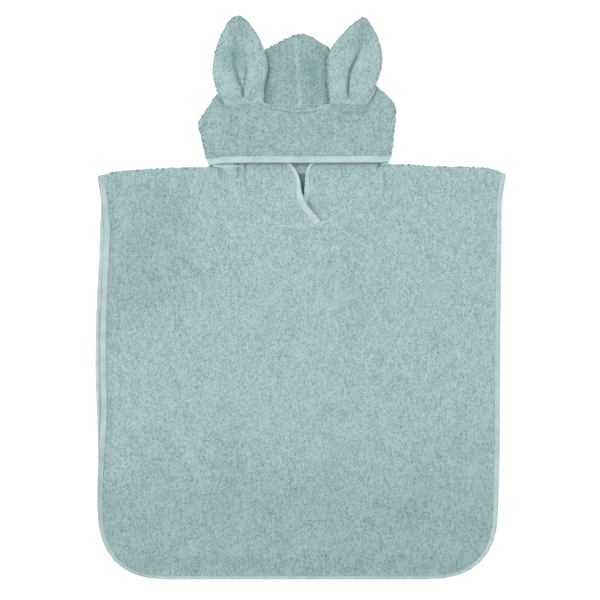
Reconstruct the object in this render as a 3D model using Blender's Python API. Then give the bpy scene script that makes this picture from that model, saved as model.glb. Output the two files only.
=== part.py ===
"""A toddler's hooded bath poncho in cotton terry, laid flat face up.

Tables and sizes are in millimetres. Across is positive to the right of the centre line, up is
measured from the shoulder line towards the hood, and z rises from the surface that it lies on.
"""
import bpy
import bmesh
from collections import namedtuple
from math import cos, exp, pi, sin
from mathutils import Vector

MM = 0.001

# Driving sizes
SHOULDER_UP = 190.9      # from the middle of the whole length up to the shoulder line
TERRY = 3.0              # thickness of the terry cloth
EAR_TERRY = 2.5          # the ears are cut from a lighter terry
GAP = 0.3                # clearance between pieces that touch
TAPE = 0.8               # folded bias tape, on each side of the edge that it binds
BOUND_CORE = 1.4         # terry pressed flat inside the tape
PRESSED = 0.8            # the tape's stitching presses the pile flat this far beyond the tape
PILE_RISE = 4.3          # and at this distance from the tape it stands at its full height
BODY_LENGTH = 599.6      # shoulder line to hem
BACK_HEM_SHORTER = 1.2   # the back hem lies just inside the front one
BACK_RIGHT_INSET = 1.5   # and so does the back panel's right edge
FACE_TAPE = 9.6          # visible width of the tape on the face opening
HEM_TAPE = 7.2           # and on the hem
CORNER_POWER = 2.5       # exponent of the rounded lower corners, 2 would be an ellipse
CORNER_LEFT = (103.1, 109.6)
CORNER_RIGHT = (106.0, 104.6)

# Levels, from the surface up
BACK_TOP = TERRY
FRONT_LOW = BACK_TOP + GAP
BOUND_HEIGHT = 2 * (TAPE + GAP) + BOUND_CORE
FRONT_BOUND_LOW = BOUND_HEIGHT + GAP
CROSSING_LIFT = BOUND_HEIGHT + GAP            # how far the left hood front rises over the right one
BAND_EDGE_LOW = FRONT_LOW + BOUND_HEIGHT + GAP
CROWN_TOP = FRONT_LOW + TERRY
EAR_LOW = CROWN_TOP + GAP

TERRY_COLOUR = (0.372, 0.507, 0.518)
TAPE_COLOUR = (0.530, 0.650, 0.665)

# Sides of the body, a row for each drop below the shoulder line
Side = namedtuple("Side", "drop back_left front_left right tape_left tape_right")
SIDES = (
    Side(28, -289.5, -290.2, 294.1, 9.6, 7.2),
    Side(50, -289.5, -289.6, 291.6, 9.6, 7.2),
    Side(71, -290.6, -286.6, 291.4, 9.4, 7.2),
    Side(93, -291.5, -285.2, 291.4, 9.2, 7.2),
    Side(136, -292.8, -287.1, 290.8, 9.2, 7.2),
    Side(178, -295.2, -289.1, 290.1, 9.0, 7.2),
    Side(278, -298.0, -290.9, 289.2, 8.6, 7.2),
    Side(355, -296.1, -289.1, 288.8, 8.4, 7.2),
    Side(419, -293.6, -292.6, 288.6, 8.2, 7.2),
    Side(464, -293.9, -295.1, 287.2, 8.0, 7.2),
)

# Shoulder and neck lines: across, up
LEFT_TIP = (-294.8, -14.5)
RIGHT_TIP = (297.8, -11.6)
LEFT_SHOULDER = ((-118.5, -1.6), (-144.4, -1.9), (-180.7, -2.9), (-216.9, -4.3), (-245.9, -6.4),
                 (-280.7, -10.2), LEFT_TIP)
RIGHT_SHOULDER = (RIGHT_TIP, (289.9, -8.0), (281.2, -4.8), (267.4, -2.9), (239.8, -1.4),
                  (192.0, -0.7), (149.9, 2.3), (115.5, 1.2))
FRONT_NECK = ((115.5, 1.2), (109.0, -9.0), (100.0, -20.0), (91.0, -31.0), (75.0, -47.0), (58.5, -64.5),
              (46.0, -74.5), (29.6, -81.5), (12.0, -87.4), (-6.0, -87.6), (-20.0, -84.5),
              (-38.0, -76.0), (-56.0, -63.0), (-74.8, -46.8), (-92.0, -30.5), (-101.0, -20.3),
              (-109.6, -9.8), (-118.5, -1.6))
BACK_NECK = ((-131.0, -1.4), (-95.0, -5.5), (-50.0, -10.0), (0.0, -11.4), (50.0, -9.5), (90.0, -3.0),
             (108.0, 1.6))

FRONT_NECK_COUNT = 31
BACK_NECK_COUNT = 11
FOLD_COUNT = 16          # places along each of the crown's folds
LEFT_FRONT_FROM = 12     # place along the front neckline where the left hood front starts
RIGHT_FRONT_TO = 15      # and where the right one ends, below it

# Hood laid flat: across, up
HOOD_LEFT = ((-133.0, 1.0), (-136.4, 9.6), (-138.8, 20.3), (-142.0, 34.8), (-146.5, 51.0), (-149.2, 59.6),
             (-144.9, 68.6), (-136.2, 83.5), (-128.5, 94.2), (-118.9, 105.4), (-103.5, 122.0),
             (-79.0, 145.0), (-49.4, 168.9), (-32.8, 178.5), (-19.7, 185.2), (-9.9, 188.9), (-5.0, 190.4))
HOOD_RIGHT = ((-5.0, 190.4), (2.9, 191.7), (17.0, 186.8), (26.2, 180.6), (42.6, 169.5), (66.0, 153.0),
              (90.0, 133.5), (108.0, 116.9), (116.6, 109.8), (123.8, 103.0), (133.5, 95.0),
              (136.9, 89.0), (137.9, 78.3), (136.6, 63.2), (134.4, 45.7), (133.1, 29.9), (130.1, 14.9),
              (127.2, 5.0))
LEFT_BAND_SEAM_AT = 9      # row of HOOD_LEFT where the band's seam reaches the fold
RIGHT_BAND_SEAM_AT = 7     # and of HOOD_RIGHT
BAND_SEAM = ((-118.9, 105.4), (-106.7, 87.6), (-80.0, 90.6), (-53.1, 91.6), (-32.8, 85.4), (-8.4, 81.8),
             (0.0, 81.6), (18.0, 83.6), (36.8, 89.4), (60.0, 90.8), (80.0, 88.6), (97.5, 88.6),
             (108.0, 116.9))
CENTRE_SEAM_FOOT = (0.0, 81.6)
BAND_LOWER_EDGE = ((-133.0, 1.0), (-111.1, 3.6), (-87.9, 4.2), (0.0, 4.3), (60.0, 4.6), (127.2, 5.0))

# Edges of the face opening below the band: across, up, from the fold to the neckline
LEFT_FACE_EDGE = ((-128.5, 9.4), (-112.0, 12.0), (-94.0, 14.2), (-65.0, 15.0), (-44.0, 15.2), (-30.0, 13.8),
                  (-23.0, 11.4), (-17.0, 7.4), (-12.4, 2.6), (-8.8, -2.6), (-5.2, -9.0), (-1.0, -21.2),
                  (1.2, -36.0), (5.9, -49.0), (11.9, -59.4), (21.0, -70.2))
RIGHT_FACE_EDGE = ((112.0, 10.4), (100.0, 12.2), (85.0, 13.0), (60.0, 13.8), (44.0, 14.2), (29.0, 13.8),
                   (22.0, 12.0), (16.2, 8.4), (12.4, 3.6), (9.8, -2.0), (7.8, -8.4), (6.8, -16.0),
                   (6.1, -26.0), (5.2, -36.0), (3.2, -50.0), (0.6, -66.0))
LEFT_FRONT_CORNER = (-127.0, -0.9)
RIGHT_FRONT_CORNER = (112.8, 3.2)

# Ears, a row for each section from the base to the tip. a and b are the shares of the width where the
# two pleats run, deep_a and deep_b how deep each is pressed, and puff how far the front layer stands off.
Section = namedtuple("Section", "left right a b deep_a deep_b puff")
LEFT_EAR = (
    Section((-106.4, 89.2), (-54.2, 92.9), 0.47, 0.56, 0.80, 0.00, 1.6),
    Section((-114.5, 98.0), (-53.4, 103.0), 0.52, 0.56, 0.90, 0.10, 4.2),
    Section((-120.5, 106.3), (-52.8, 115.3), 0.54, 0.60, 0.95, 0.70, 5.6),
    Section((-126.0, 126.1), (-48.9, 130.8), 0.45, 0.60, 0.95, 0.85, 6.2),
    Section((-127.6, 139.6), (-47.6, 144.0), 0.41, 0.61, 0.75, 0.70, 6.0),
    Section((-125.0, 161.8), (-50.5, 162.0), 0.42, 0.62, 0.35, 0.20, 5.4),
    Section((-119.3, 181.8), (-61.0, 180.6), 0.44, 0.62, 0.15, 0.00, 4.8),
    Section((-110.5, 199.5), (-70.6, 195.2), 0.46, 0.60, 0.00, 0.00, 3.8),
    Section((-101.6, 211.7), (-79.5, 207.2), 0.45, 0.60, 0.00, 0.00, 2.4),
    Section((-95.2, 217.6), (-88.0, 217.8), 0.40, 0.60, 0.00, 0.00, 0.6),
)
RIGHT_EAR = (
    Section((42.7, 92.6), (95.6, 90.6), 0.40, 0.49, 0.00, 0.80, 1.6),
    Section((41.0, 102.0), (101.0, 101.0), 0.38, 0.46, 0.00, 0.95, 4.2),
    Section((40.2, 112.7), (106.5, 112.0), 0.36, 0.43, 0.00, 1.00, 5.6),
    Section((38.7, 127.0), (112.5, 128.5), 0.35, 0.43, 0.30, 1.00, 6.4),
    Section((38.4, 141.0), (117.2, 143.0), 0.37, 0.46, 0.40, 0.95, 6.6),
    Section((39.6, 160.0), (118.0, 162.0), 0.40, 0.56, 0.10, 0.60, 6.0),
    Section((46.5, 174.0), (114.8, 178.0), 0.42, 0.62, 0.00, 0.20, 5.2),
    Section((58.5, 189.0), (108.5, 193.5), 0.42, 0.62, 0.00, 0.00, 4.0),
    Section((73.0, 203.8), (101.2, 205.5), 0.42, 0.62, 0.00, 0.00, 2.6),
    Section((89.6, 216.2), (96.6, 214.2), 0.40, 0.60, 0.00, 0.00, 0.6),
)
PLEAT_REACH = 5.5        # half width of a pleat's valley
EAR_EDGE = 3.2           # width over which an ear's layers round down to their seam
EAR_DROOP_FROM = 7.0     # past the crown's chord, where an ear starts to bend down to the surface
EAR_DROOP_OVER = 45.0    # and how far on it lies on it
EAR_STATIONS = 19
EAR_SEAM_EDGE = 0.7      # thickness left at the rim, where an ear's layers meet
DOME_POWER = 0.7         # below 1 the front layer stands off more steeply at its rims
SUNK_BETWEEN = 0.55      # how much the strip between two pleats sinks with them

# Where the band rises over what lies below it
BAND_RISE_FROM, BAND_RISE_TO = 46.0, 20.0
SEAM_BULK = 2.2          # the band's thickness grows by this over the ears' seam allowance
SEAM_BULK_REACH = 8.0
EAR_MIDDLES = (-80.0, 70.0)
EAR_SPREAD = 30.0
CROWN_SEAM_RIDGE = 0.9   # the centre seam's allowance lifts the crown
CROWN_SEAM_REACH = 4.0
CROSSING_START, CROSSING_OVER = 26.0, 23.0
SWAY = 0.7               # slow rise and fall of the front panel
SWAY_MARGIN = 60.0       # fading out over this width towards its edges

# Lines that the panels' rings close in on, from left to right
BODY_SPINE = ((-150.0, -300.0), (150.0, -300.0))
HOOD_BACK_SPINE = ((-90.0, 60.0), (90.0, 60.0))
CROWN_LEFT_SPINE = ((-76.0, 112.0), (-32.0, 132.0))
CROWN_RIGHT_SPINE = ((72.0, 112.0), (32.0, 130.0))
BAND_SPINE = ((-104.0, 50.0), (98.0, 50.0))
LEFT_FRONT_SPINE = ((-102.0, -0.3), (-6.0, -66.0))
RIGHT_FRONT_SPINE = ((76.0, -14.0), (22.0, -68.0))
BODY_RINGS = (0.18, 0.42, 0.7)       # shares of the way in from the edge to the spine
HOOD_RINGS = (0.35, 0.7)
HOOD_FRONT_RINGS = (0.2, 0.4, 0.6, 0.8)

EdgePoint = namedtuple("EdgePoint", "x y kind tape")


def smooth_step(t):
    t = min(1.0, max(0.0, t))
    return t * t * (3 - 2 * t)


def smooth_line(points, count):
    """That many evenly spaced places along a smooth curve through the points."""
    points = [Vector(p) for p in points]
    spans = [(b - a).length for a, b in zip(points, points[1:])]
    slopes = [(b - a) / span for a, b, span in zip(points, points[1:], spans)]
    tangents = [slopes[0]]
    for i in range(1, len(slopes)):
        before, after = spans[i - 1], spans[i]
        tangents.append((slopes[i - 1] * after + slopes[i] * before) / (before + after))
    tangents.append(slopes[-1])
    fine = []
    pieces = 12
    for i, span in enumerate(spans):
        for k in range(pieces):
            t = k / pieces
            fine.append(points[i] * (2 * t ** 3 - 3 * t ** 2 + 1)
                        + tangents[i] * span * (t ** 3 - 2 * t ** 2 + t)
                        + points[i + 1] * (3 * t ** 2 - 2 * t ** 3)
                        + tangents[i + 1] * span * (t ** 3 - t ** 2))
    fine.append(points[-1])
    reach = [0.0]
    for a, b in zip(fine, fine[1:]):
        reach.append(reach[-1] + (b - a).length)
    line = []
    at = 0
    for k in range(count):
        wanted = reach[-1] * k / (count - 1)
        while at < len(fine) - 2 and reach[at + 1] < wanted:
            at += 1
        share = (wanted - reach[at]) / (reach[at + 1] - reach[at])
        line.append(fine[at].lerp(fine[at + 1], share))
    return line


def rounded_corner(centre, radii, start, end, count):
    """Places on a superellipse arc, angles in turns from +across towards +up."""
    line = []
    for k in range(count):
        angle = 2 * pi * (start + (end - start) * k / (count - 1))
        c, s = cos(angle), sin(angle)
        across = abs(c) ** (2 / CORNER_POWER) * (1 if c > 0 else -1)
        up = abs(s) ** (2 / CORNER_POWER) * (1 if s > 0 else -1)
        line.append(Vector((centre[0] + radii[0] * across, centre[1] + radii[1] * up)))
    return line


def edge_run(line, kind, tape_start=0.0, tape_end=None):
    tape_end = tape_start if tape_end is None else tape_end
    last = len(line) - 1
    return [EdgePoint(p[0], p[1], kind, tape_start + (tape_end - tape_start) * k / last)
            for k, p in enumerate(line)]


def joined(*runs):
    """One closed outline from runs that share their end points; the earlier run keeps the shared one."""
    outline = list(runs[0])
    for run in runs[1:]:
        outline += run[1:]
    return outline[:-1]


def moved_left(line, distance):
    """The line moved sideways, to the left of its way for a positive distance."""
    moved = []
    for k, place in enumerate(line):
        way = (line[min(k + 1, len(line) - 1)] - line[max(k - 1, 0)]).normalized()
        moved.append(place + Vector((-way.y, way.x)) * distance)
    return moved


def past_tape(line, tape):
    """The line with two places added at its start, where the pile beside the tape starts and stops rising."""
    way = (line[1] - line[0]).normalized()
    extra = [line[0] + way * (tape + PRESSED), line[0] + way * (tape + PILE_RISE)]
    rest = [place for place in line[1:] if (place - line[0]).length > tape + 2 * PILE_RISE]
    return [line[0], *extra, *rest]


def loft(name, loops, colour):
    """A closed body through loops of points in millimetres, capped at both ends."""
    mesh = bpy.data.meshes.new(name)
    bm = bmesh.new()
    rings = [[bm.verts.new((x * MM, (y + SHOULDER_UP) * MM, z * MM)) for x, y, z in loop]
             for loop in loops]
    for near, far in zip(rings, rings[1:]):
        for k in range(len(near)):
            after = (k + 1) % len(near)
            bm.faces.new((near[k], near[after], far[after], far[k]))
    bm.faces.new(rings[0])
    bm.faces.new(rings[-1])
    bmesh.ops.recalc_face_normals(bm, faces=bm.faces)
    bmesh.ops.triangulate(bm, faces=bm.faces, quad_method="BEAUTY", ngon_method="BEAUTY")
    bm.to_mesh(mesh)
    bm.free()
    mesh.shade_smooth()
    mesh.set_sharp_from_angle(angle=0.9)
    piece = bpy.data.objects.new(name, mesh)
    bpy.context.scene.collection.objects.link(piece)
    mesh.materials.append(cloth(name, colour))
    return piece


def cloth(name, colour):
    material = bpy.data.materials.new(name)
    material.use_nodes = True
    shader = material.node_tree.nodes["Principled BSDF"]
    shader.inputs["Base Color"].default_value = (*colour, 1.0)
    shader.inputs["Roughness"].default_value = 0.95
    shader.inputs["Metallic"].default_value = 0.0
    return material


def nearest_on(start, end, point):
    along = end - start
    share = (point - start).dot(along) / along.length_squared
    return start + along * min(1.0, max(0.0, share))


def inward(before, point, after):
    """Inward normals of the two edges that meet at an outline's point; it runs counter-clockwise."""
    normals = []
    for a, b in ((before, point), (point, after)):
        way = (b - a).normalized()
        normals.append(Vector((-way.y, way.x)))
    return normals


def pressed_by_tape(outline):
    """A function that gives 0 where the tape presses the cloth flat and 1 where the pile stands free."""
    bound = [(Vector((p.x, p.y)), p.tape) for p in outline if p.kind == "bound"]

    def free(x, y):
        if not bound:
            return 1.0
        place = Vector((x, y))
        gap, tape = min(((nearest_on(a, b, place) - place).length, tape)
                        for (a, tape), (b, _) in zip(bound, bound[1:]))
        return min(1.0, max(0.0, (gap - tape - PRESSED) / (PILE_RISE - PRESSED)))
    return free


def edge_depths(point):
    """How far in from the edge the upper and the lower face have their three rings."""
    if point.kind == "bound":
        depths = (TAPE + GAP, point.tape + PRESSED, point.tape + PILE_RISE)
        return depths, depths
    if point.kind == "folded":
        return (0.0, 0.9, 3.2), (0.4, 2.6, 4.6)
    return (0.0, 1.2, 5.0), (0.0, 1.2, 5.0)


def edge_height(kind, ring, is_upper, low, high, lip):
    """Height of a ring at the edge. low and high are the wall's faces there, and lip is the height that a
    fold comes down to."""
    if ring < 3:
        if kind == "folded":
            return lip + (high - lip) * (0.35, 0.75, 1.0)[ring] if is_upper else (lip, lip, low)[ring]
        if kind == "seam" and is_upper:
            return high - (0.9, 0.15, 0.0)[ring]
        if kind == "laid" and not is_upper:
            return low + (0.9, 0.0, 0.0)[ring]
    return high if is_upper else low


def panel(name, outline, spine, low, high, bound_low=None, lip=FRONT_LOW, inner=HOOD_RINGS):
    """A wall of cloth inside an outline. Its rings run from the middle of the underside out to the edge
    and back in over the top, each on rays from the outline to the spine."""
    bound_low = bound_low or low
    free = pressed_by_tape(outline)
    start, end = Vector(spine[0]), Vector(spine[1])
    places = [Vector((p.x, p.y)) for p in outline]

    def ring(index, is_upper):
        loop = []
        for k, (point, place) in enumerate(zip(outline, places)):
            ray = nearest_on(start, end, place) - place
            reach = ray.length
            ray /= reach
            normals = inward(places[k - 1], place, places[(k + 1) % len(places)])
            slant = max(0.25, min(ray.dot(normal) for normal in normals))
            steps = [min(depth / slant, limit * reach)
                     for depth, limit in zip(edge_depths(point)[0 if is_upper else 1], (0.2, 0.5, 0.8))]
            steps += [steps[2] + share * (reach - steps[2]) for share in inner]
            x, y = place + ray * steps[index]
            z = edge_height(point.kind, index, is_upper, low(x, y), high(x, y), lip)
            core = bound_low(x, y) + TAPE + GAP + (BOUND_CORE if is_upper else 0.0)
            under_tape = index < 2 and free(*place) < 0.01
            loop.append((x, y, core if under_tape else core + (z - core) * free(x, y)))
        return loop

    rings = 3 + len(inner)
    loops = [ring(i, False) for i in reversed(range(rings))]
    loops += [ring(i, True) for i in range(rings)]
    return loft(name, loops, TERRY_COLOUR)


def binding(name, outline, low):
    """Bias tape folded round the bound run that starts an outline: a C in section, open towards the cloth.
    Its two ends are cut along the edges that follow."""
    places = [Vector((p.x, p.y)) for p in outline]
    last = max(k for k, point in enumerate(outline) if point.kind == "bound")
    loops = []
    for k in range(last + 1):
        place = places[k]
        before, after = inward(places[k - 1], place, places[k + 1])
        way = (before + after).normalized()
        slant = way.dot(after)
        if k in (0, last):
            way = ((places[k + 1] if k else places[-1]) - place).normalized()
            slant = way.dot(before if k else after)
        wide, high = outline[k].tape, BOUND_HEIGHT
        inner_edge = place + way * (wide / slant)
        edge_low, inner_low = low(*place), low(*inner_edge)
        section = ((wide, 0.0), (1.0, 0.0), (0.0, 1.1), (0.0, high - 1.1), (1.0, high), (wide, high),
                   (wide, high - TAPE), (TAPE, high - TAPE), (TAPE, TAPE), (wide, TAPE))
        loop = []
        for depth, z in section:
            x, y = place + way * (depth / slant)
            loop.append((x, y, edge_low + (inner_low - edge_low) * depth / wide + z))
        loops.append(loop)
    return loft(name, loops, TAPE_COLOUR)


def level(height):
    return lambda x, y: height


# Body --------------------------------------------------------------------------------------------
def body_edge(left_column, right_inset, hem_drop):
    """The bound run of a body panel, from the left shoulder tip round the hem to the right one."""
    left_tip = (LEFT_TIP[0] + right_inset, LEFT_TIP[1])
    right_tip = (RIGHT_TIP[0] - right_inset, RIGHT_TIP[1])
    last = SIDES[-1]
    left_corner = (getattr(last, left_column) + CORNER_LEFT[0], CORNER_LEFT[1] - hem_drop)
    right_corner = (last.right - right_inset - CORNER_RIGHT[0] - 0.8, CORNER_RIGHT[1] - hem_drop)
    left = [left_tip] + [(getattr(row, left_column), -row.drop) for row in SIDES]
    left.append((left_corner[0] - CORNER_LEFT[0], left_corner[1]))
    right = [(right_corner[0] + CORNER_RIGHT[0], right_corner[1])]
    right += [(row.right - right_inset, -row.drop) for row in reversed(SIDES)] + [right_tip]
    first = SIDES[0]
    runs = (
        edge_run(smooth_line(left, 13), "bound", first.tape_left, last.tape_left),
        edge_run(rounded_corner(left_corner, CORNER_LEFT, 0.5, 0.75, 9), "bound", last.tape_left, HEM_TAPE),
        edge_run(smooth_line(((left_corner[0], -hem_drop), (right_corner[0], -hem_drop)), 6), "bound",
                 HEM_TAPE),
        edge_run(rounded_corner(right_corner, CORNER_RIGHT, 0.75, 1.0, 9), "bound", HEM_TAPE),
        edge_run(smooth_line(right, 13), "bound", last.tape_right, first.tape_right),
    )
    edge = list(runs[0])
    for run in runs[1:]:
        edge += run[1:]
    return edge


def sway(x, y):
    """Slow waves of the laid cloth, none at its edges."""
    from_sides, from_hem, from_neck = 280 - abs(x), y + BODY_LENGTH, -95 - y
    inside = 1.0
    for width in (from_sides, from_hem, from_neck):
        inside *= smooth_step(width / SWAY_MARGIN)
    wave = sin(x / 61 + 0.6) * sin(y / 83 + 1.1) + 0.6 * sin(x / 37 - y / 71)
    return SWAY * 0.5 * (1 + wave / 1.6) * inside


def make_body():
    edge = body_edge("back_left", BACK_RIGHT_INSET, BODY_LENGTH - BACK_HEM_SHORTER)
    right_tip, left_tip = (edge[-1].x, edge[-1].y), (edge[0].x, edge[0].y)
    neck = moved_left(smooth_line(BACK_NECK[::-1], BACK_NECK_COUNT), GAP)
    right_shoulder = smooth_line([right_tip, *RIGHT_SHOULDER[1:-1], neck[0]], 8)
    left_shoulder = smooth_line([neck[-1], *LEFT_SHOULDER[1:-1], left_tip], 7)
    outline = joined(edge, edge_run(past_tape(right_shoulder, HEM_TAPE), "laid"),
                     edge_run(neck, "laid"),
                     edge_run(past_tape(left_shoulder[::-1], FACE_TAPE)[::-1], "laid"))
    panel("body_back", outline, BODY_SPINE, level(0.0), level(BACK_TOP), inner=BODY_RINGS)
    binding("back_edge_binding", outline, level(0.0))

    edge = body_edge("front_left", 0.0, BODY_LENGTH)
    outline = joined(edge, edge_run(past_tape(smooth_line(RIGHT_SHOULDER, 8), HEM_TAPE), "folded"),
                     edge_run(smooth_line(FRONT_NECK, FRONT_NECK_COUNT), "seam"),
                     edge_run(past_tape(smooth_line(LEFT_SHOULDER, 7)[::-1], FACE_TAPE)[::-1], "folded"))
    panel("body_front", outline, BODY_SPINE, lambda x, y: FRONT_LOW + sway(x, y),
          lambda x, y: FRONT_LOW + TERRY + sway(x, y), bound_low=level(FRONT_BOUND_LOW),
          inner=BODY_RINGS)
    binding("front_edge_binding", outline, level(FRONT_BOUND_LOW))


# Hood --------------------------------------------------------------------------------------------
def band_low(x, y):
    """The band lies on the hood's rear layers, and rises where its lower edge covers the face edges."""
    risen = smooth_step((BAND_RISE_FROM - y) / (BAND_RISE_FROM - BAND_RISE_TO))
    return FRONT_LOW + (BAND_EDGE_LOW - FRONT_LOW) * risen


def band_seam_up(x):
    seam = sorted(BAND_SEAM[1:-1])
    for (x0, y0), (x1, y1) in zip(seam, seam[1:]):
        if x <= x1:
            return y0 + (y1 - y0) * min(1.0, max(0.0, (x - x0) / (x1 - x0)))
    return seam[-1][1]


def band_high(x, y):
    under_ears = max(exp(-((x - middle) / EAR_SPREAD) ** 4) for middle in EAR_MIDDLES)
    bulk = SEAM_BULK * under_ears * exp(-((band_seam_up(x) - y) / SEAM_BULK_REACH) ** 2)
    return band_low(x, y) + TERRY + bulk


def crown_high(x, y):
    seam = -5.0 * (y - CENTRE_SEAM_FOOT[1]) / (HOOD_LEFT[-1][1] - CENTRE_SEAM_FOOT[1])
    return CROWN_TOP + CROWN_SEAM_RIDGE * smooth_step(1.5 - abs(x - seam) / CROWN_SEAM_REACH)


def rising_over(edge, height):
    """Underside of a layer that lies flat and rises over another one; that one is right of its edge."""
    def low(x, y):
        place = Vector((x, y))
        gap, start, end = min(((nearest_on(a, b, place) - place).length, k, k + 1)
                              for k, (a, b) in enumerate(zip(edge, edge[1:])))
        way = edge[end] - edge[start]
        if way.x * (y - edge[start].y) - way.y * (x - edge[start].x) > 0:
            gap = 0.0
        return FRONT_LOW + height * smooth_step((CROSSING_START - gap) / CROSSING_OVER)
    return low


def make_hood():
    # rear layers, from the peak to the back neckline
    neck = smooth_line(BACK_NECK, BACK_NECK_COUNT)
    outline = joined(edge_run(neck, "laid"), edge_run([neck[-1], Vector(HOOD_RIGHT[-1])], "laid"),
                     edge_run(smooth_line(HOOD_RIGHT[::-1], 24), "laid"),
                     edge_run(smooth_line(HOOD_LEFT[::-1], 25), "laid"),
                     edge_run([Vector(HOOD_LEFT[0]), neck[0]], "laid"))
    panel("hood_back", outline, HOOD_BACK_SPINE, level(0.0), level(BACK_TOP))

    # the seam between band and crown runs from the left fold to the right one
    foot = BAND_SEAM.index(CENTRE_SEAM_FOOT)
    left_seam = [Vector(BAND_SEAM[0]), *smooth_line(BAND_SEAM[1:foot + 1], 10)]
    right_seam = [*smooth_line(BAND_SEAM[foot:-1], 10), Vector(BAND_SEAM[-1])]
    centre = smooth_line((CENTRE_SEAM_FOOT, HOOD_LEFT[-1]), 8)
    crown_left_fold = smooth_line(HOOD_LEFT[LEFT_BAND_SEAM_AT:], FOLD_COUNT)[::-1]
    crown_right_fold = smooth_line(HOOD_RIGHT[:RIGHT_BAND_SEAM_AT + 1], FOLD_COUNT)[::-1]

    seam, middle = moved_left(left_seam, GAP / 2), moved_left(centre, GAP / 2)
    seam[-1] = middle[0] = Vector((middle[0].x, seam[-1].y))
    crown_left_fold[0], crown_left_fold[-1] = middle[-1], seam[0]
    outline = joined(edge_run(seam, "seam"), edge_run(middle, "seam"), edge_run(crown_left_fold, "folded"))
    panel("hood_crown_left", outline, CROWN_LEFT_SPINE, level(FRONT_LOW), crown_high)

    seam, middle = moved_left(right_seam, GAP / 2), moved_left(centre, -GAP / 2)
    seam[0] = middle[0] = Vector((middle[0].x, seam[0].y))
    crown_right_fold[0], crown_right_fold[-1] = seam[-1], middle[-1]
    outline = joined(edge_run(seam, "seam"), edge_run(crown_right_fold, "folded"),
                     edge_run(middle[::-1], "seam"))
    panel("hood_crown_right", outline, CROWN_RIGHT_SPINE, level(FRONT_LOW), crown_high)

    # front band, bound along its lower edge and folded at both ends
    seam = moved_left([*left_seam, *right_seam[1:]], -GAP / 2)[::-1]
    right_fold = smooth_line(HOOD_RIGHT[RIGHT_BAND_SEAM_AT:][::-1], 11)
    left_fold = smooth_line(HOOD_LEFT[:LEFT_BAND_SEAM_AT + 1][::-1], 12)
    right_fold[-1], left_fold[0] = seam[0], seam[-1]
    outline = joined(edge_run(smooth_line(BAND_LOWER_EDGE, 14), "bound", FACE_TAPE),
                     edge_run(past_tape(right_fold, FACE_TAPE), "folded"), edge_run(seam, "seam"),
                     edge_run(past_tape(left_fold[::-1], FACE_TAPE)[::-1], "folded"))
    panel("hood_band", outline, BAND_SPINE, band_low, band_high)
    binding("face_edge_binding_top", outline, level(BAND_EDGE_LOW))

    # ends of the band that reach the front neckline, the left one over the right one
    neck = moved_left(smooth_line(FRONT_NECK, FRONT_NECK_COUNT), -GAP)
    right_edge = smooth_line([*RIGHT_FACE_EDGE, neck[RIGHT_FRONT_TO]], 30)
    right_end = smooth_line((RIGHT_FRONT_CORNER, RIGHT_FACE_EDGE[0]), 3)
    outline = joined(edge_run(right_edge, "bound", FACE_TAPE),
                     edge_run([*neck[1:RIGHT_FRONT_TO + 1][::-1], right_end[0]], "seam"),
                     edge_run(right_end, "seam"))
    panel("hood_front_right", outline, RIGHT_FRONT_SPINE, level(FRONT_LOW), level(FRONT_LOW + TERRY),
          inner=HOOD_FRONT_RINGS)
    binding("face_edge_binding_right", outline, level(FRONT_LOW))

    left_low = rising_over(right_edge, CROSSING_LIFT)
    left_edge = smooth_line([neck[LEFT_FRONT_FROM], *LEFT_FACE_EDGE[::-1]], 38)
    left_end = smooth_line((LEFT_FACE_EDGE[0], LEFT_FRONT_CORNER), 3)
    outline = joined(edge_run(left_edge, "bound", FACE_TAPE), edge_run(left_end, "seam"),
                     edge_run([left_end[-1], *neck[LEFT_FRONT_FROM:][::-1]], "seam"))
    panel("hood_front_left", outline, LEFT_FRONT_SPINE, left_low, lambda x, y: left_low(x, y) + TERRY,
          inner=HOOD_FRONT_RINGS)
    binding("face_edge_binding_left", outline, left_low)


# Ears --------------------------------------------------------------------------------------------
def droop(chord):
    """Height of an ear's underside: on the crown up to its fold, then bending down to the surface."""
    start, end = Vector(chord[0]), Vector(chord[1])
    along = (end - start).normalized()
    out = Vector((-along.y, along.x))

    def height(x, y):
        past = (Vector((x, y)) - start).dot(out) - EAR_DROOP_FROM
        return EAR_LOW * (1 - smooth_step(past / EAR_DROOP_OVER))
    return height


def sections_between(rows, count):
    """Ear sections at even steps from base to tip, each value on a smooth curve through the rows."""
    rows = [Vector((*row.left, *row.right, *row[2:])) for row in rows]
    sections = []
    for k in range(count):
        at = k * (len(rows) - 1) / (count - 1)
        i = min(int(at), len(rows) - 2)
        t = at - i
        p0, p1, p2, p3 = (rows[min(max(j, 0), len(rows) - 1)] for j in range(i - 1, i + 3))
        mixed = (p1 * 2 + (p2 - p0) * t + (p0 * 2 - p1 * 5 + p2 * 4 - p3) * t ** 2
                 + (p1 * 3 - p0 - p2 * 3 + p3) * t ** 3) * 0.5
        sections.append(Section(Vector(mixed[:2]), Vector(mixed[2:4]), *(max(0.0, v) for v in mixed[4:])))
    return sections


def stand_off(section, u, width):
    """How far an ear's front layer stands off the back one, at a share of the section's width."""
    dome = sin(pi * min(1.0, max(0.0, u))) ** DOME_POWER
    reach = PLEAT_REACH / width
    for at, deep in ((section.a, section.deep_a), (section.b, section.deep_b)):
        dome *= 1 - deep * max(0.0, 1 - abs(u - at) / reach)
    if section.a < u < section.b:
        dome *= 1 - SUNK_BETWEEN * min(section.deep_a, section.deep_b)
    return section.puff * dome


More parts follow.
